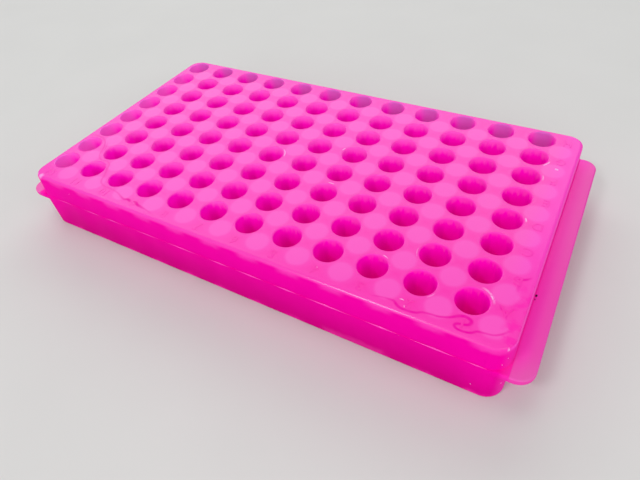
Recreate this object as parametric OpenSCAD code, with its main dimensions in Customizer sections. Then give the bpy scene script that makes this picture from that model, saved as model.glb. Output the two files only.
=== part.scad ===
// Reversible microcentrifuge tube rack: one solid polypropylene moulding.
// Large blind wells open upward, small blind wells open downward between them,
// and a thin flange at each short end stands out at the mould's parting plane.
// Units are millimetres. The origin is at the centre of the base, Z is up,
// X runs along the rows and the letters' side is at +X.

/* [Wells] */
// Wells along one row
columns = 12; // [2:1:16]
// Rows of wells
rows = 8; // [2:1:12]
// Bore of a large well, for 1.5 and 2 mL tubes
well_d = 11; // [9:0.1:13.5]
// Bore of a small well, for 0.5 mL tubes
small_d = 8.6; // [6:0.1:10.4]
// Wall between two large wells of one row
web_x = 6.4; // [5:0.1:12]
// Wall between two large wells of one column
web_y = 3; // [2.4:0.1:8]
// Material under a large well
well_floor = 1.5; // [0.8:0.1:4]
// Material over a small well, seen from above as a paler disc
small_skin = 0.9; // [0.6:0.1:3]
// Rounding of a well's mouth
mouth_round = 0.5; // [0.2:0.1:0.8]
// Bevel round a well's closed end
end_bevel = 0.8; // [0.3:0.1:2]

/* [Block] */
// Base to top face
height = 28; // [20:0.5:60]
// Top face down to the parting plane
upper_height = 10.8; // [6:0.1:16]
// Wall outside the outermost large wells, at the block's ends
end_wall = 2.7; // [1.6:0.1:12]
// Wall outside the outermost large wells, at the block's long sides
side_wall = 2.5; // [1.6:0.1:12]
// Vertical corners of the block, in plan
corner_r = 7; // [3:0.5:12]
// Each side leans in by this from the parting plane to the top or the base
draft = 0.35; // [0:0.05:1]
// The lower half stands out past the upper half by this at the parting plane
parting_step = 0.2; // [0.1:0.05:0.4]
// Rounding of the top face's edge
top_round = 1.3; // [0.4:0.1:3]
// Rounding of the base's edge
base_round = 0.8; // [0.4:0.1:3]

/* [Flanges] */
// How far a flange stands out from the block's end
flange_reach = 7.5; // [3:0.1:20]
// Thickness of a flange
flange_t = 2.6; // [1.5:0.1:5]
// Corners of a flange, in plan
flange_corner_r = 6; // [2:0.5:12]
// Rounding of a flange's edges
flange_round = 0.7; // [0.3:0.1:1]

/* [Hidden] */
$fn = 64;
// steps in a quarter-round of the block, and of a well's mouth
arc_steps = 6;
mouth_steps = 2;
// a cutter runs this far past the face it opens
past = 1;
// flat left between a well's mouth and the rounded edge of the face it opens in
mouth_margin = 0.3;

pitch_x = well_d + web_x;
pitch_y = well_d + web_y;
// the small wells sit half a pitch right and half a pitch forward of the large ones
shift_x = pitch_x / 2;
shift_y = pitch_y / 2;
// half sizes of the upper block at the parting plane
widest = max(well_d, small_d);
half_x = ((columns - 1) * pitch_x + shift_x + widest) / 2 + end_wall;
half_y = ((rows - 1) * pitch_y + shift_y + widest) / 2 + side_wall;
parting_z = height - upper_height;
// half sizes of the lower block at the parting plane, which the flanges share
low_x = half_x + parting_step;
low_y = half_y + parting_step;
// an edge's rounding stays clear of the wells' mouths
round_room = min(end_wall, side_wall) - draft - mouth_round - mouth_margin;
top_r = min(top_round, round_room);
base_r = min(base_round, round_room);

// centre of the large well in column i, counted from the left, and row j, counted from the back
function well_at(i, j) = [
    (i - (columns - 1) / 2) * pitch_x - shift_x / 2,
    ((rows - 1) / 2 - j) * pitch_y + shift_y / 2
];

// quarter-round of radius r about [x, z], turning from angle a0 to a1
function arc(x, z, r, a0, a1, steps = arc_steps) = [
    for (k = [0:steps])
        let (a = a0 + (a1 - a0) * k / steps)
        [x + r * cos(a), z + r * sin(a)]
];

// Side profiles are [how far out from the nominal side, height], from the bottom up.
function upper_side() = concat(
    [[0, parting_z - upper_height / 4], [0, parting_z]],
    arc(-draft - top_r, height - top_r, top_r, 0, 90)
);
function lower_side() = concat(
    arc(-draft - base_r, base_r, base_r, -90, 0),
    [[0, parting_z]]
);
function flange_side() = concat(
    arc(-flange_round, parting_z - flange_t + flange_round, flange_round, -90, 0),
    arc(-flange_round, parting_z - flange_round, flange_round, 0, 90)
);

// One side profile carried round a rectangle with round corners: two straight
// bars that cross, and a turned corner at each meeting of two sides.
module carried_round(hx, hy, r, side) {
    n = len(side) - 1;
    // the corners' centres, kept to a hundredth so that bars and corners meet exactly
    cx = round(100 * (hx - r)) / 100;
    cy = round(100 * (hy - r)) / 100;
    bar_x = concat(
        [for (p = side) [cx + r + p[0], p[1]]],
        [for (k = [n:-1:0]) [-cx - r - side[k][0], side[k][1]]]
    );
    bar_y = concat(
        [for (p = side) [cy + r + p[0], p[1]]],
        [for (k = [n:-1:0]) [-cy - r - side[k][0], side[k][1]]]
    );
    rotate([90, 0, 0]) linear_extrude(2 * cy, center = true) polygon(bar_x);
    rotate([90, 0, 90]) linear_extrude(2 * cx, center = true) polygon(bar_y);
    for (sx = [-1, 1], sy = [-1, 1])
        translate([sx * cx, sy * cy, 0])
            rotate_extrude() polygon(concat(
                [[0, side[0][1]]],
                [for (p = side) [r + p[0], p[1]]],
                [[0, side[n][1]]]
            ));
}

// A blind well standing on z = 0 and open at z = depth: bevelled end, straight
// wall, rounded mouth.
module well(d, depth) {
    r = d / 2;
    rotate_extrude() polygon(concat(
        [[0, 0], [r - end_bevel, 0], [r, end_bevel]],
        arc(r + mouth_round, depth - mouth_round, mouth_round, 180, 90, mouth_steps),
        [[r + mouth_round, depth + past], [0, depth + past]]
    ));
}

module rack() {
    color([0.98, 0.2, 0.68])
    difference() {
        union() {
            carried_round(half_x, half_y, corner_r, upper_side());
            carried_round(low_x, low_y, corner_r, lower_side());
            carried_round(half_x + flange_reach, low_y - parting_step / 2,
                flange_corner_r, flange_side());
        }
        for (i = [0:columns - 1], j = [0:rows - 1]) {
            translate([well_at(i, j)[0], well_at(i, j)[1], well_floor])
                well(well_d, height - well_floor);
            translate([well_at(i, j)[0] + shift_x, well_at(i, j)[1] - shift_y, height - small_skin])
                mirror([0, 0, 1]) well(small_d, height - small_skin);
        }
    }
}

rack();
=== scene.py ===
"""A reversible microcentrifuge tube rack: one polypropylene moulding with its moulded-in
characters and flow marks, on a pale bench top under soft studio light."""
import math

import bpy
import numpy as np
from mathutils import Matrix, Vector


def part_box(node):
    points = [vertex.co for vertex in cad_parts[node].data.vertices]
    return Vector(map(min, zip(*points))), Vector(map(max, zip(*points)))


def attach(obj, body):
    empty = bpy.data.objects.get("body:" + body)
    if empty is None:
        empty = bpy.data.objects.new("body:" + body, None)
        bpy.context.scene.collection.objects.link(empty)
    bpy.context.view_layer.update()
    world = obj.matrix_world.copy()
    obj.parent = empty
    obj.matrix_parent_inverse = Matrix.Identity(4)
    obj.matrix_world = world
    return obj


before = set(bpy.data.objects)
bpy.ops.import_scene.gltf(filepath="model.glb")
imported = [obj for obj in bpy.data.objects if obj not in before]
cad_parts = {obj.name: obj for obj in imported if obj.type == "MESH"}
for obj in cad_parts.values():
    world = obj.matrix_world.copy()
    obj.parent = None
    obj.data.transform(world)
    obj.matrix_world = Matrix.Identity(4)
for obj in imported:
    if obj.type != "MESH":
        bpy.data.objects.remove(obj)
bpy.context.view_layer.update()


# The moulded rack. The real piece is a single shot of fluorescent pink polypropylene,
# slightly translucent: plastic close over a cavity looks paler, a thick web deeper, and a
# thin outer wall lets daylight through. The mould's fine spark finish leaves it satin.
MM = 0.001
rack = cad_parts["rack"]
high = np.array(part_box("rack")[1]) / MM
top_z = high[2]
upper_height = 10.8
parting_z = top_z - upper_height
# half sizes of the block above the parting plane, inside the flanges and the parting step
flange_reach, parting_step = 7.5, 0.2
half = high[:2] - (flange_reach, parting_step)
columns, rows = 12, 8
pitch = np.array([17.4, 14.0])
large_r, small_r = 5.5, 4.3
# centres of the large well nearest the back left corner and of its small neighbour: the two
# grids lie half a pitch apart each way, so each is a quarter of a pitch off the middle
first_large = (np.array([1 - columns, rows - 1]) / 2 + (-0.25, 0.25)) * pitch
first_small = first_large + pitch / 2 * (1, -1)


class Value:
    """A socket whose number, vector or colour varies over a surface. Sums on a number add
    Math nodes to the same finish."""

    def __init__(self, finish, out):
        self.finish, self.out = finish, out

    def math(self, operation, *terms):
        """The Math node of that operation on this number and the terms."""
        sockets = dict(enumerate((self, *terms)))
        return self.finish.node("ShaderNodeMath", {"operation": operation}, sockets)["Value"]

    def __add__(self, other):
        return self.math("ADD", other)

    def __sub__(self, other):
        return self.math("SUBTRACT", other)

    def __rsub__(self, other):
        return (self * -1) + other

    def __mul__(self, other):
        return self.math("MULTIPLY", other)

    def __truediv__(self, other):
        return self.math("DIVIDE", other)

    def __abs__(self):
        return self.math("ABSOLUTE")

    __radd__, __rmul__ = __add__, __mul__

    def least(self, other):
        return self.math("MINIMUM", other)

    def most(self, other):
        return self.math("MAXIMUM", other)

    def rises(self, start, end):
        """0 up to start and 1 from end on, with a smooth step between them."""
        return self.finish.node(
            "ShaderNodeMapRange",
            {"interpolation_type": "SMOOTHSTEP"},
            {"Value": self, "From Min": start, "From Max": end},
        )["Result"]


class Finish:
    """One material, or the world, whose nodes are made by node() and joined by the Values
    that it gives back."""

    def __init__(self, name, kind=bpy.data.materials):
        self.owner = kind.new(name)
        self.owner.use_nodes = True
        self.tree = self.owner.node_tree
        self.tree.nodes.clear()

    def node(self, kind, settings, sockets):
        """A node of that type: its settings first, then the values or links of its sockets.
        Gives its outputs by their identifiers."""
        made = self.tree.nodes.new(kind)
        for name, setting in settings.items():
            setattr(made, name, setting)
        named = {socket.identifier: socket for socket in made.inputs}
        for key, value in sockets.items():
            socket = made.inputs[key] if isinstance(key, int) else named[key]
            if isinstance(value, Value):
                self.tree.links.new(value.out, socket)
            else:
                socket.default_value = value
        return {out.identifier: Value(self, out) for out in made.outputs}

    def point(self):
        """The place on the object, in metres."""
        return self.node("ShaderNodeTexCoord", {}, {})["Object"]

    def split(self, point, axes="XYZ"):
        """A place's coordinates along those axes, in millimetres."""
        parts = self.node("ShaderNodeSeparateXYZ", {}, {"Vector": point})
        return [parts[axis] * (1 / MM) for axis in axes]

    def tint(self, amount, under, over):
        """The colour under, covered by over to that amount."""
        sockets = {"Factor_Float": amount, "A_Color": under, "B_Color": over}
        return self.node("ShaderNodeMix", {"data_type": "RGBA"}, sockets)["Result_Color"]

    def noise(self, point, size_mm, detail=2.0):
        """Cloudy noise from 0 to 1, with lumps of about that size."""
        sockets = {"Vector": point, "Scale": 1 / (size_mm * MM), "Detail": detail}
        return self.node("ShaderNodeTexNoise", {}, sockets)["Fac"]

    def relief(self, height_mm):
        """A bumped normal for a height in millimetres."""
        sockets = {"Height": height_mm, "Distance": MM, "Strength": 1.0}
        return self.node("ShaderNodeBump", {}, sockets)["Normal"]

    def plastic(self, colour, roughness, normal, more):
        """The Principled shader to the surface output, with more of its sockets. It hardly
        shines by itself: the gloss is a coat's, where more gives it one."""
        sockets = {
            "Base Color": colour,
            "Roughness": roughness,
            "Normal": normal,
            "IOR": 1.49,
            "Specular IOR Level": 0.004,
            "Specular Tint": (1.0, 0.5, 0.85, 1),
            **more,
        }
        shader = self.node("ShaderNodeBsdfPrincipled", {}, sockets)["BSDF"]
        self.node("ShaderNodeOutputMaterial", {}, {"Surface": shader})


def distance(dx, dy):
    """How far apart two places are that differ by dx and dy."""
    return (dx * dx + dy * dy).math("SQRT")


def from_axis(x, y, first):
    """Distance in mm to the nearest well's axis: x and y each less their nearest line of the
    grid that starts at first, then the length of what is left."""
    i = ((x - first[0]) / pitch[0]).math("ROUND").most(0).least(columns - 1)
    j = ((first[1] - y) / pitch[1]).math("ROUND").most(0).least(rows - 1)
    return distance(x - first[0] - i * pitch[0], y - first[1] + j * pitch[1])


def painted_sheen_gradient(x, y):
    """The painted sheen: 0 at the letters' front corner, by the mould's gate, and 1 well away
    from it towards the back left, with a smooth step along the diagonal."""
    return (y - x).rises(-140, 40)


def top_skin(finish, point, x, y):
    """The top face's colour and its height in mm. Thick webs are deep, thin ones and the
    margin paler, and a pale disc lies over each small well. All of it is painted paler towards
    the back left, as painted sheen. The pigment lies in clouds in the letters' margin near the
    gate, and further back that margin is a little cooler. The height is a satin grain and a
    slow swell."""
    to_large, to_small = from_axis(x, y, first_large), from_axis(x, y, first_small)
    inset = (half[0] - abs(x)).least(half[1] - abs(y))
    painted_sheen = painted_sheen_gradient(x, y)
    thin_web = finish.tint(painted_sheen, (0.97, 0.046, 0.475, 1), (0.98, 0.052, 0.55, 1))
    thick_web = finish.tint(painted_sheen, (0.97, 0.028, 0.43, 1), (0.98, 0.042, 0.52, 1))
    over_small = finish.tint(painted_sheen, (0.97, 0.088, 0.545, 1), (0.98, 0.095, 0.61, 1))
    solid = (to_large - large_r).least(to_small - small_r).least(inset * 0.6)
    plate = finish.tint(solid.rises(0.2, 4.4), thin_web, thick_web)
    mottle = finish.noise(point, 2.5, 3.0)
    disc = 1 - (to_small + mottle * 0.4).rises(small_r - 0.5, small_r + 1.1)
    plate = finish.tint(disc, plate, over_small)
    near_gate = (x - y - mottle * 14).rises(126, 138) * x.rises(101, 105)
    clouds = finish.noise(point, 4, 3.0).rises(0.42, 0.62) * near_gate
    plate = finish.tint(clouds * 0.8, plate, (0.99, 0.011, 0.44, 1))
    cooler = x.rises(97, 104) * y.rises(-50, -10)
    plate = finish.tint(cooler * 0.2, plate, (1.0, 0.05, 0.80, 1))
    grain, swell = finish.noise(point, 0.35, 3.0), finish.noise(point, 14, 1.0)
    return plate, grain * 0.005 + swell * 0.10


moulding = Finish("rack_plastic")
point = moulding.point()
x, y, z = moulding.split(point)
depth = top_z - z
normal = moulding.node("ShaderNodeNewGeometry", {}, {})["Normal"]
facing = moulding.node("ShaderNodeSeparateXYZ", {}, {"Vector": normal})
up, back_or_front = facing["Z"], abs(facing["Y"])
mottle = moulding.noise(point, 9, 3.0)
fine_mottle = moulding.noise(point, 2.5, 3.0)
painted_sheen = painted_sheen_gradient(x, y)
# how far from the wells' axes, and how far in from the block's outer walls
to_large = from_axis(x, y, first_large)
to_small = from_axis(x, y, first_small)
from_end, from_side = half[0] - abs(x), half[1] - abs(y)
inset = from_end.least(from_side)
# whether this is a flange, the top face, the base or a well; the rounding of a mouth belongs
# to its well
flange = abs(x).rises(half[0] + 0.2, half[0] + 0.5)
off_mouth = to_large.rises(large_r + 0.2, large_r + 0.45)
on_top = (1 - depth.rises(0.4, 1.2)) * up.rises(0.35, 0.8) * off_mouth
on_base = (1 - z.rises(0.3, 0.8)) * (0 - up).rises(0.35, 0.8)
in_large = 1 - to_large.rises(large_r + 0.6, large_r + 1.0)
in_small = 1 - to_small.rises(small_r + 0.3, small_r + 0.7)
in_well = in_large.most(in_small)

# outer walls: deep at the foot, as painted shade, clear magenta above, and painted paler
# round the corners, as light through the thin plastic there
corner = abs(x).rises(half[0] - 22, half[0] - 4)
from_foot = z + mottle * 6 + corner * 6
wall = moulding.tint(
    from_foot.rises(-2, top_z + 3), (0.56, 0.0004, 0.200, 1), (0.92, 0.0008, 0.40, 1)
)
# a well close behind lets light in, as a lobe under the top edge and a patch at the foot
behind = 1 - (to_large - large_r).least(to_small - small_r).rises(3.0, 5.4)
top_lobe = 1 - (depth + fine_mottle * 1.6).rises(2.4, 4.4)
foot_lobe = 1 - (z + fine_mottle * 3).rises(1.8, 4.2)
wall = moulding.tint(behind * top_lobe * 0.85, wall, (0.98, 0.050, 0.51, 1))
wall = moulding.tint(behind * foot_lobe * 0.7, wall, (0.96, 0.036, 0.48, 1))
# painted sheen: the top edge's rounding is painted pale all along
painted_edge_sheen = 1 - (depth + mottle * 1.2).rises(0.8, 2.0)
wall = moulding.tint(painted_edge_sheen * 0.75, wall, (0.97, 0.035, 0.49, 1))
# a paler patch at the foot of the front wall
along_patch = 1 - (abs(x - 56) + fine_mottle * 6).rises(12, 18)
patch = along_patch * (1 - (z + fine_mottle * 2).rises(3, 5.5)) * (0 - y).rises(50, 55)
wall = moulding.tint(patch * 0.6, wall, (0.72, 0.03, 0.32, 1))
# the ends, which the flanges light from below
at_end = abs(x).rises(half[0] - 3.4, half[0] - 0.3)
wall = moulding.tint(at_end * 0.8, wall, (0.93, 0.028, 0.47, 1))
# painted highlight: the ends' top rounding is painted paler
wall = moulding.tint(at_end * (1 - depth.rises(1.0, 2.2)) * 0.9, wall, (1.0, 0.075, 0.62, 1))

# inside a well, painted light and shade: a pale streaky band under the mouth, where light
# falls in, and painted shade deeper below it. The band is widest at the well's back and
# front, and in the front rows there is hardly any of it at the sides. All of it is painted
# paler towards the back left, as painted sheen.
pale = moulding.tint(painted_sheen, (0.97, 0.030, 0.57, 1), (0.98, 0.140, 0.72, 1))
deep = moulding.tint(painted_sheen, (0.93, 0.001, 0.60, 1), (0.96, 0.005, 0.70, 1))
lip = moulding.tint(painted_sheen, (0.97, 0.042, 0.49, 1), (0.98, 0.085, 0.57, 1))
drawn_out = {0: point, 1: (1, 1, 0.25)}
upright = moulding.node("ShaderNodeVectorMath", {"operation": "MULTIPLY"}, drawn_out)["Vector"]
streaks = (moulding.noise(upright, 1.4, 3.0) - 0.5) * (9 - painted_sheen * 6)
at_side = (1 - back_or_front) * (5.2 - y.rises(-60, -10) * 4)
bore = moulding.tint((depth + streaks + at_side).rises(0.8, painted_sheen * 2 + 3.0), pale, deep)
bore = moulding.tint((1 - depth.rises(0.35, 0.6)) * 0.9, bore, lip)
# painted shade where the hollow of a small well is close behind; painted light, greyed,
# where only an outer wall is and light comes through it
hollow = 1 - (to_small - small_r).rises(1.4, 2.5)
bore = moulding.tint(hollow * depth.rises(1.0, 5.0) * 0.45, bore, (0.68, 0.0, 0.42, 1))
thin_side = 1 - from_side.rises(2.4, 5.4)
thin_end = 1 - from_end.rises(2.4, 6.8)
bore = moulding.tint(thin_end * 0.9, bore, (0.86, 0.17, 0.71, 1))
bore = moulding.tint(thin_side * 0.9, bore, (0.66, 0.135, 0.57, 1))

colour = moulding.tint(in_well, wall, bore)
plate, skin_height = top_skin(moulding, point, x, y)
colour = moulding.tint(on_top, colour, plate)
# three marks whiten the top edge at the front corners: partly knocks, partly painted
# highlights
for mark_x, mark_y, reach in [(-102, -58.9, 2.4), (-105.2, -58.6, 1.4), (106.3, -58.0, 0.8)]:
    away = distance(x - mark_x, y - mark_y) + fine_mottle * reach
    knock_and_glint = (1 - away.rises(reach * 0.6, reach * 1.3)) * (1 - depth.rises(0.8, 1.8))
    colour = moulding.tint(knock_and_glint * 0.8, colour, (0.98, 0.45, 0.90, 1))
# base: the large wells' floors show as pale discs
floor_disc = 1 - to_large.rises(large_r - 0.9, large_r - 0.1)
base = moulding.tint(floor_disc, (0.86, 0.004, 0.36, 1), (0.92, 0.04, 0.48, 1))
colour = moulding.tint(on_base, colour, base)
# flanges: thin, so greyer and paler towards the outer edge, as painted light through them;
# paler at the front, and at the left end as painted sheen; deep again at the edge itself,
# where they are seen through their width
outward = abs(x).rises(half[0] + 0.5, half[0] + 6)
ledge = moulding.tint(outward, (0.95, 0.033, 0.57, 1), (0.76, 0.072, 0.44, 1))
ledge = moulding.tint((0 - y).rises(47, 60) * 0.65, ledge, (0.74, 0.13, 0.45, 1))
ledge = moulding.tint((0 - x).rises(0, 100) * 0.7, ledge, (0.84, 0.16, 0.50, 1))
on_edge = 1 - abs(up).rises(0.2, 0.7)
ledge = moulding.tint(on_edge * 0.8, ledge, (0.90, 0.030, 0.44, 1))
colour = moulding.tint(flange, colour, ledge)
# painted glow: an emission that stands for the light the fluorescent plastic gives back, in
# the wells down to where it fades, and a little at the walls and flanges
glow = moulding.tint(1 - depth.rises(2, 12), (0.09, 0, 0.03, 1), (0.11, 0, 0.055, 1))
glow = moulding.tint(thin_end, glow, (0.12, 0.012, 0.08, 1))
glow = moulding.tint(thin_side, glow, (0.04, 0.008, 0.04, 1))
glow = moulding.tint(in_well, (0.065, 0, 0.016, 1), glow)
glow = moulding.tint(on_top.most(on_base), glow, (0, 0, 0, 1))

# the walls sink opposite the thick webs; the edges are worn smooth
sway = (x - first_large[0]) * (2 * math.pi / pitch[0])
sink = sway.math("COSINE") * (1 - inset.rises(0.2, 1.6)) * 0.10
edge = (1 - inset.rises(0.6, 1.6)) * (1 - depth.rises(0.6, 1.2))
moulding.plastic(
    colour,
    0.30 + moulding.noise(point, 5, 3.0) * 0.12 - edge * 0.1,
    moulding.relief(skin_height + sink),
    {
        "Coat Weight": (on_top * 0.5).most(flange * 0.35).most(edge * 0.57).most(in_well * 0.3),
        "Coat Roughness": 0.2,
        "Emission Color": glow,
        "Emission Strength": 1.0,
    },
)
rack.data.materials.clear()
rack.data.materials.append(moulding.owner)


# Row letters and column numbers. The real ones are cut into the mould, so they stand a
# tenth of a millimetre proud of the top face in the same plastic. They read from the back,
# with 1 and A at the front right corner.
def stamped(words, cap, relief):
    """One mesh for several short words. A word's mesh is scaled so that its height is cap,
    turned half round, and centred on its place; all are in mm."""
    sunk = 0.02
    points, faces, count = [], [], 0
    for word, (at_x, at_y) in words:
        text = bpy.data.curves.new("word", "FONT")
        text.body = word
        text.extrude, text.bevel_depth, text.bevel_resolution = 0.01, 0.02, 1
        holder = bpy.data.objects.new("word", text)
        shape = bpy.data.meshes.new_from_object(holder)
        co = np.empty(len(shape.vertices) * 3)
        shape.vertices.foreach_get("co", co)
        co = co.reshape(-1, 3)
        middle = (co.min(0) + co.max(0)) / 2
        size = np.ptp(co, axis=0)
        co = (co - middle) * (-cap / size[1], -cap / size[1], relief / size[2])
        points.append(co + (at_x, at_y, top_z + relief / 2 - sunk))
        faces += [[v + count for v in face.vertices] for face in shape.polygons]
        count += len(co)
        bpy.data.objects.remove(holder)
        bpy.data.curves.remove(text)
        bpy.data.meshes.remove(shape)
    return np.vstack(points) * MM, faces


def placed(name, points, faces, finish, smooth=False):
    """A mesh object from points in metres and faces, in that finish, riding on the rack."""
    mesh = bpy.data.meshes.new(name)
    mesh.from_pydata(points.tolist(), [], faces)
    mesh.materials.append(finish.owner)
    if smooth:
        mesh.shade_smooth()
    else:
        mesh.shade_flat()
    piece = bpy.data.objects.new(name, mesh)
    bpy.context.scene.collection.objects.link(piece)
    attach(piece, "root")
    return piece


number_y, letter_x = -55.5, 101.9
words = [(str(columns - i), (first_large[0] + i * pitch[0], number_y)) for i in range(columns)]
words += [
    (letter, (letter_x, first_large[1] - j * pitch[1])) for j, letter in enumerate("HGFEDCBA")
]
lettering = Finish("character_plastic")
point = lettering.point()
x, y = lettering.split(point, "XY")
plate, skin_height = top_skin(lettering, point, x, y)
# painted shade: near the front right corner the letters are painted a little deeper, for the
# shade at their raised edges
painted_edge_shade = (1 - (y - x).rises(-140, 0)) * (lettering.noise(point, 2.5) * 0.3 + 0.2)
lettering.plastic(
    lettering.tint(painted_edge_shade, plate, (0.95, 0.015, 0.42, 1)),
    0.30 + lettering.noise(point, 1.0) * 0.1,
    lettering.relief(skin_height),
    {"Coat Weight": 0.5, "Coat Roughness": 0.2},
)
placed("grid_characters", *stamped(words, cap=4.0, relief=0.12), lettering)


# Flow marks. Where two fronts of melt met in the mould the pigment lies in thin darker
# threads just under the skin. Each is a ribbon a hair above the face, in the face's own
# colour at its edges and deep magenta along its middle.
def ribbon(route, z):
    """A grid of points in mm at height z: distance along a smooth route by distance across
    it, from -1 to 1. A route's points are x, y, width and strength, the first three in mm,
    with a Catmull-Rom curve through all four. Gives also how far across and how strong each
    point is."""
    across = np.linspace(-1, 1, 7)
    steps = 8
    route = np.array(route, float)
    knots = np.vstack([2 * route[0] - route[1], route, 2 * route[-1] - route[-2]])
    t = np.linspace(0, len(route) - 1 - 1e-9, steps * (len(route) - 1) + 1)
    k, u = t.astype(int), (t % 1)[:, None]
    a, b, c, d = (knots[k + s] for s in range(4))
    bend, twist = a - 2.5 * b + 2 * c - d / 2, d - a + 3 * (b - c)
    line = b + u * ((c - a) / 2 + u * (bend + u * twist / 2))
    way = np.gradient(line[:, :2], axis=0)
    sideways = np.c_[-way[:, 1], way[:, 0]] / np.linalg.norm(way, axis=1)[:, None]
    flat = line[:, None, :2] + sideways[:, None] * across[None, :, None] * line[:, None, 2:3] / 2
    weave = np.dstack(np.broadcast_arrays(across, np.clip(line[:, 3:4], 0, 1)))
    return np.dstack([flat, np.full(flat.shape[:2], z)]), weave.reshape(-1, 2)


def sheet_of(grids):
    """Points in metres, and a face for each cell, of several grids of points in mm."""
    points, faces, count = [], [], 0
    for grid in grids:
        n, m = grid.shape[:2]
        cell = count + (np.arange(n - 1)[:, None] * m + np.arange(m - 1)).reshape(-1, 1)
        faces += (cell + [0, m, m + 1, 1]).tolist()
        points.append(grid.reshape(-1, 3))
        count += n * m
    return np.vstack(points) * MM, faces


def threads(name, routes, finish):
    """A piece made of ribbons, each a little above the one before, with how far across and
    how strong each point is as its attribute weave."""
    hair, apart = 0.010, 0.002
    heights = top_z + hair + apart * np.arange(len(routes))
    grids, weaves = zip(*map(ribbon, routes, heights))
    piece = placed(name, *sheet_of(grids), finish)
    weave = np.vstack(weaves)
    vectors = np.c_[weave, np.zeros(len(weave))].astype(np.float32)
    spread = piece.data.attributes.new("weave", "FLOAT_VECTOR", "POINT")
    spread.data.foreach_set("vector", vectors.ravel())


def woven(finish):
    """How far across its ribbon a point is, 0 to 1, and the ribbon's strength there."""
    place = finish.node("ShaderNodeAttribute", {"attribute_name": "weave"}, {})["Vector"]
    parts = finish.node("ShaderNodeSeparateXYZ", {}, {"Vector": place})
    return abs(parts["X"]), parts["Y"]


# along the front edge at the right, with its curl
front_curl = [
    (61, -57.4, 1.0, 0), (63, -57, 1.0, 0.4), (66, -56.4, 1.1, 0.5), (69, -56.3, 1.4, 0.8),
    (70.3, -57.2, 1.6, 1), (72, -58, 1.5, 1), (74.7, -58.1, 1.4, 1), (77.1, -57.7, 1.5, 0.9),
    (78.9, -56.7, 1.3, 0.7), (81.6, -56.2, 1.2, 0.7), (84, -56, 1.2, 0.8),
    (87, -54.9, 1.4, 0.9), (89.1, -53.4, 1.9, 1), (90, -52.9, 1.9, 1), (91.5, -52.55, 1.9, 1),
    (93, -53.0, 1.9, 1), (93.6, -53.8, 2.0, 1), (93.3, -54.9, 1.8, 1), (92.2, -55.5, 1.5, 1),
    (90.7, -55.8, 1.5, 1), (89.5, -56.4, 1.6, 1), (89.4, -57.2, 1.5, 1), (90.3, -57.9, 1.3, 1),
    (91.8, -58.1, 1.3, 1), (93.7, -57.9, 1.3, 1), (95, -57.3, 1.5, 1), (96.2, -56.3, 1.4, 0.9),
    (98.4, -55.9, 1.1, 0.6), (100.8, -55.5, 1.1, 0.6), (102.8, -54.2, 1.2, 0.6),
    (104.2, -52.6, 1.2, 0.4), (105.2, -51.2, 1.0, 0),
]
in_cloudy_margin = [
    [(101, -31.2, 1.0, 0), (102.6, -30.6, 1.4, 0.8), (104, -30, 1.5, 0.9),
     (105.2, -29, 1.2, 0.6), (106, -28, 1.0, 0)],
    [(102.6, -31.8, 1.4, 0), (103, -33, 1.6, 0.4), (102.8, -35, 1.6, 0.4), (103.4, -37, 1.4, 0)],
    [(99.2, -43, 1.0, 0), (100.2, -44.8, 1.2, 0.7), (101.4, -45.4, 1.2, 0.7),
     (102.2, -46.8, 1.2, 0.7), (102.8, -48.6, 1.0, 0)],
]
# the long one, and a short one beside it
from_left_edge = [
    (-106, -25, 1.8, 0), (-103, -24.4, 1.5, 0.45), (-99, -24.6, 1.5, 0.45),
    (-95.6, -26, 1.2, 0.5), (-94.1, -27.2, 1.0, 0.6), (-92, -29.6, 1.0, 0.6),
    (-90.5, -32.2, 1.0, 0.5), (-89.2, -35, 1.0, 0.5), (-86.8, -37.6, 1.2, 0.4),
    (-84.4, -38.6, 1.1, 0.4), (-81, -38.5, 1.1, 0.4), (-78.2, -39.6, 1.3, 0.5),
    (-76.4, -42.8, 1.6, 0.5), (-74.2, -46.2, 1.6, 0.5), (-72, -50.4, 1.5, 0.5),
    (-68.4, -52.4, 1.3, 0.45), (-63.6, -52.6, 1.2, 0.45), (-59, -53.4, 1.2, 0.45),
    (-56, -54.5, 1.3, 0.5), (-53.4, -55.4, 1.6, 0.8), (-51, -54.9, 2.0, 1),
    (-49, -55.6, 1.8, 0.6), (-47, -55, 2.0, 1), (-44.8, -55.9, 2.0, 1),
    (-42.6, -56.2, 1.6, 0.7), (-38, -57, 1.0, 0.35), (-33, -58.2, 1.0, 0),
]
beside_it = [
    (-93.4, -26, 0.8, 0), (-91.4, -28.6, 0.8, 0.35), (-89.6, -31.4, 0.8, 0.35),
    (-88.9, -34, 0.8, 0),
]
thread = Finish("flow_mark")
point = thread.point()
x, y = thread.split(point, "XY")
plate, skin_height = top_skin(thread, point, x, y)
across, strength = woven(thread)
uneven = thread.noise(point, 2.2, 3.0).rises(0.25, 0.75) * 0.3 + 0.7
amount = (1 - across.rises(0.2, 1.0)) * strength * uneven
thread.plastic(
    thread.tint(amount, plate, (0.86, 0.0, 0.36, 1)),
    0.30 + thread.noise(point, 5, 3.0) * 0.12,
    thread.relief(skin_height),
    {"Coat Weight": 0.5 - amount * 0.45, "Coat Roughness": 0.2},
)
threads("flow_marks", [front_curl, *in_cloudy_margin, from_left_edge, beside_it], thread)


# Scuffs and painted glints. Tubes and other racks have knocked a few mouths, where the plastic
# has whitened in short crescents; the crescents are painted pale also for the glints on those
# rims, and two short marks by the number 2 are painted glints on its relief. They are ribbons
# like the flow marks, in the face's colour at their edges.
rim_r = large_r + 0.52


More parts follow.
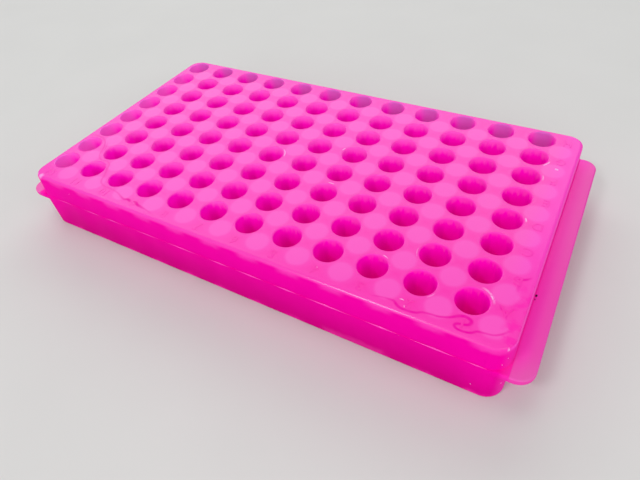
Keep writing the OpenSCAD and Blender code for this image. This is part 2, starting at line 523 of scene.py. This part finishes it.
def crescent(i, j, start, end, width, strength):
    """A route round the mouth of the large well in column i and row j, from angle start to
    end in degrees, with its inner edge at the rim, where the mouth's rounding meets the face.
    Its strength is the root of a half turn's sine along it."""
    stops = 7
    angle = np.radians(np.linspace(start, end, stops))
    centre = first_large + pitch * (i, -j)
    round_mouth = np.c_[np.cos(angle), np.sin(angle)] * (rim_r + width / 2)
    fade = np.sin(np.linspace(0, math.pi, stops)) ** 0.5 * strength
    return np.c_[centre + round_mouth, np.full(stops, width), fade]


rim_scuffs_and_glints = [
    crescent(11, 7, 10, 82, 1.3, 0.5),
    crescent(11, 7, 26, 46, 0.9, 1.0),
    crescent(11, 1, -48, -8, 0.9, 0.9),
    crescent(11, 2, -6, 26, 0.8, 0.5),
    crescent(11, 4, 8, 30, 0.9, 0.9),
    crescent(9, 7, 56, 80, 0.7, 0.6),
    crescent(10, 6, 170, 215, 0.6, 0.35),
    crescent(10, 7, -52, -20, 0.7, 0.3),
    crescent(5, 4, 5, 58, 0.8, 0.8),
    crescent(7, 3, 150, 172, 0.9, 0.8),
    crescent(7, 5, 74, 102, 0.8, 0.6),
]
glints_by_the_numbers = [
    [(70.3, -54.9, 0.5, 0), (71.2, -54.6, 0.6, 0.9), (72.2, -54.8, 0.5, 0)],
    [(72.6, -56.4, 0.5, 0), (73, -56.9, 0.6, 0.7), (73.2, -57.5, 0.5, 0)],
]
scuff_and_glint = Finish("scuff_and_glint_plastic")
point = scuff_and_glint.point()
x, y = scuff_and_glint.split(point, "XY")
plate, skin_height = top_skin(scuff_and_glint, point, x, y)
across, strength = woven(scuff_and_glint)
ragged = scuff_and_glint.noise(point, 0.8, 3.0).rises(0.3, 0.6) * 0.6 + 0.4
amount = (1 - across.rises(0.1, 1.0)) * strength * ragged
scuff_and_glint.plastic(
    scuff_and_glint.tint(amount, plate, (0.98, 0.55, 0.96, 1)),
    0.30 - amount * 0.12,
    scuff_and_glint.relief(skin_height + amount * 0.03),
    {"Coat Weight": 0.5, "Coat Roughness": 0.2},
)
threads("scuffs_and_glints", rim_scuffs_and_glints + glints_by_the_numbers, scuff_and_glint)


# The parting line. Where the mould halves met, a hair of flash stands out along both long
# sides; it swells and dies away about once a pitch, opposite the small wells.
def flash(side, length, step):
    """A half-round bead carried along one long side, as a grid: distance along it by angle
    round it. Its radius swells as the fourth power of a cosine, once a pitch, unevenly, and
    its middle lies on the parting step and rises a little where it swells."""
    x = np.arange(-length / 2, length / 2 + step, step)
    turn = (x - first_small[0]) * 2 * math.pi / pitch[0]
    turn = turn + 0.9 * np.sin(x * 0.071 + side) + 0.5 * np.sin(x * 0.193)
    swells = (0.5 + 0.5 * np.cos(turn)) ** 2
    thinnest = 0.03
    radius = thinnest + (0.21 + 0.09 * np.sin((x + 40) / 90)) * swells
    radius *= np.clip((length / 2 - np.abs(x)) / 4, 0.05, 1)
    middle_y = half[1] + 0.12
    middle_z = parting_z - thinnest + 0.16 * swells[:, None]
    angle = np.radians(np.linspace(-90, 90, 9))
    y = side * (middle_y + radius[:, None] * np.cos(angle))
    z = middle_z + radius[:, None] * np.sin(angle)
    return np.dstack(np.broadcast_arrays(x[:, None], y, z))


# painted highlight: the bead is painted paler than the wall, and it glows a little
bead = Finish("flash_plastic")
point = bead.point()
bead.plastic(
    bead.tint(bead.noise(point, 4), (0.98, 0.03, 0.50, 1), (0.98, 0.08, 0.60, 1)),
    0.20 + bead.noise(point, 1.5) * 0.1,
    bead.relief(bead.noise(point, 0.4) * 0.01),
    {
        "Coat Weight": 0.6,
        "Coat Roughness": 0.12,
        "Emission Color": (0.08, 0.0, 0.035, 1),
        "Emission Strength": 1.0,
    },
)
front, back = (flash(side, length=204.0, step=0.6) for side in (-1, 1))
placed("parting_flash", *sheet_of([front, back[::-1]]), bead, smooth=True)


# Specks. A crumb of dark dirt sits in the corner between the right flange and the wall, and
# pale grains of dust cling to the front wall and its corner. The pale grains on the front
# margin are painted glints on the digits 5, 4 and 3, and one moulded pip stands on a disc,
# painted pale for its glint.
def crumbs(places, seed):
    """One grid of a lumpy ball for each place and size in mm: a sphere in latitude and
    longitude whose radius is waved by two cosines."""
    rng = np.random.default_rng(seed)
    rise = np.radians(np.linspace(-90, 90, 9))[:, None]
    turn = np.radians(np.linspace(0, 360, 13))[None, :]
    level = np.cos(rise)
    grids = []
    for place, size in places:
        lean, swell = rng.uniform(0, 6.28, 2)
        waves = 0.18 * np.cos(2 * turn + lean) * level + 0.12 * np.cos(3 * rise + swell)
        out = 0.5 * (1 + waves)
        parts = out * level * np.cos(turn), out * level * np.sin(turn), out * np.sin(rise)
        grids.append((np.dstack(parts) * size + place)[:, ::-1])
    return grids


def speckled(name, places, seed, under, over, rough):
    """A piece made of crumbs, in a dull mottled finish between two colours."""
    finish = Finish(name)
    point = finish.point()
    mottled = finish.tint(finish.noise(point, 0.4), under, over)
    finish.plastic(mottled, rough, finish.relief(finish.noise(point, 0.2) * 0.03), {})
    placed(name, *sheet_of(crumbs(places, seed)), finish, smooth=True)


speckled(
    "dirt_speck",
    [((108.75, -25.5, 17.3), (0.7, 0.9, 0.4)), ((108.7, -27.3, 17.25), (0.3, 0.6, 0.2))],
    seed=1,
    under=(0.05, 0.004, 0.03, 1),
    over=(0.12, 0.01, 0.07, 1),
    rough=0.6,
)
on_wall = [
    ((98.4, -60.55, 5.6), (0.28, 0.2, 0.38)), ((103.8, -60.0, 12.2), (0.22, 0.2, 0.3)),
    ((107.0, -57.7, 8.4), (0.25, 0.25, 0.45)), ((107.6, -56.6, 14.2), (0.2, 0.25, 0.4)),
    ((105.7, -59.2, 20.4), (0.25, 0.2, 0.25)), ((106.7, -57.9, 23.0), (0.2, 0.2, 0.4)),
    ((-84.3, -60.2, 23.8), (0.5, 0.2, 0.3)),
]
digit_glints = [
    ((22.1, -55.9, top_z), (0.4, 0.3, 0.15)), ((39.5, -54.2, top_z), (0.3, 0.3, 0.15)),
    ((56.2, -57.2, top_z), (0.4, 0.3, 0.15)),
]
speckled(
    "dust_and_digit_glints",
    on_wall + digit_glints,
    seed=2,
    under=(0.97, 0.35, 0.78, 1),
    over=(0.98, 0.62, 0.90, 1),
    rough=0.4,
)
speckled(
    "disc_pip_glint",
    [((101.2, 33.1, top_z), (1.3, 1.2, 0.5))],
    seed=3,
    under=(0.98, 0.30, 0.78, 1),
    over=(0.98, 0.55, 0.92, 1),
    rough=0.2,
)


# The bench top: one flat pale board with a fine tooth, far wider than the rack, which only
# stands on it.
bench_half = 3.0
bench_corners = np.array([(-1, -1, 0), (1, -1, 0), (1, 1, 0), (-1, 1, 0)]) * bench_half
bench_mesh = bpy.data.meshes.new("bench")
bench_mesh.from_pydata(bench_corners.tolist(), [], [(0, 1, 2, 3)])
bench = bpy.data.objects.new("bench", bench_mesh)
bpy.context.scene.collection.objects.link(bench)
board = Finish("bench_board")
point = board.point()
board.plastic(
    board.tint(board.noise(point, 60, 4.0), (0.66, 0.66, 0.65, 1), (0.70, 0.70, 0.69, 1)),
    0.55,
    board.relief(board.noise(point, 0.8) * 0.01),
    {},
)
bench_mesh.materials.append(board.owner)


# The room's light: a panel overhead, broad ones behind and to the left, low in front and at
# the right, a small strong lamp high at the front left for the glints, and an even pale
# surround, which looks paler to the camera than the light it gives.
def panel(name, place, aim, width, depth, radiance):
    """A flat lamp of that size that faces aim. Its power is pi times its area times the
    radiance that it shows."""
    lamp = bpy.data.lights.new(name, "AREA")
    lamp.shape, lamp.size, lamp.size_y = "RECTANGLE", width, depth
    lamp.energy = math.pi * width * depth * radiance
    holder = bpy.data.objects.new(name, lamp)
    bpy.context.scene.collection.objects.link(holder)
    away = np.array(place, float) - np.array(aim, float)
    turn = math.atan2(away[1], away[0])
    tilt = math.atan2(math.hypot(away[0], away[1]), away[2])
    holder.location = place
    holder.rotation_euler = (0, tilt, turn)


panel("back_panel", (-0.65, 1.2, 0.95), (0, 0, 0.02), 0.9, 2.2, 1.8)
panel("ceiling_panel", (-0.25, 0.1, 1.6), (0, 0, 0), 0.6, 0.6, 2.2)
panel("front_panel", (0.3, -1.4, 0.5), (0, 0, 0.02), 0.9, 1.8, 1.1)
panel("right_panel", (1.2, -0.5, 0.9), (0, 0, 0.02), 0.8, 1.2, 1.5)
panel("strip_lamp", (-0.40, -1.125, 1.28), (0.060, -0.06, 0.028), 0.15, 0.37, 31.8)

surround = Finish("surround", bpy.data.worlds)
seen = surround.node("ShaderNodeLightPath", {}, {})["Is Camera Ray"]
sky = {"Color": (0.8, 0.8, 0.8, 1), "Strength": 0.55 + seen * 0.25}
light = surround.node("ShaderNodeBackground", {}, sky)["Background"]
surround.node("ShaderNodeOutputWorld", {}, {"Surface": light})
bpy.context.scene.world = surround.owner

# The camera stands near the front right corner, turned to the left and tipped a little, and
# looks down across the rack.
lens = bpy.data.cameras.new("camera")
lens.lens, lens.sensor_width, lens.clip_start = 28.27, 36.0, 0.005
camera = bpy.data.objects.new("camera", lens)
camera.location = (0.10656, -0.15122, 0.15728)
camera.rotation_euler = [math.radians(angle) for angle in (45.2344, 4.4725, 29.2345)]
bpy.context.scene.collection.objects.link(camera)
bpy.context.scene.camera = camera
bpy.context.scene.view_settings.view_transform = "Standard"
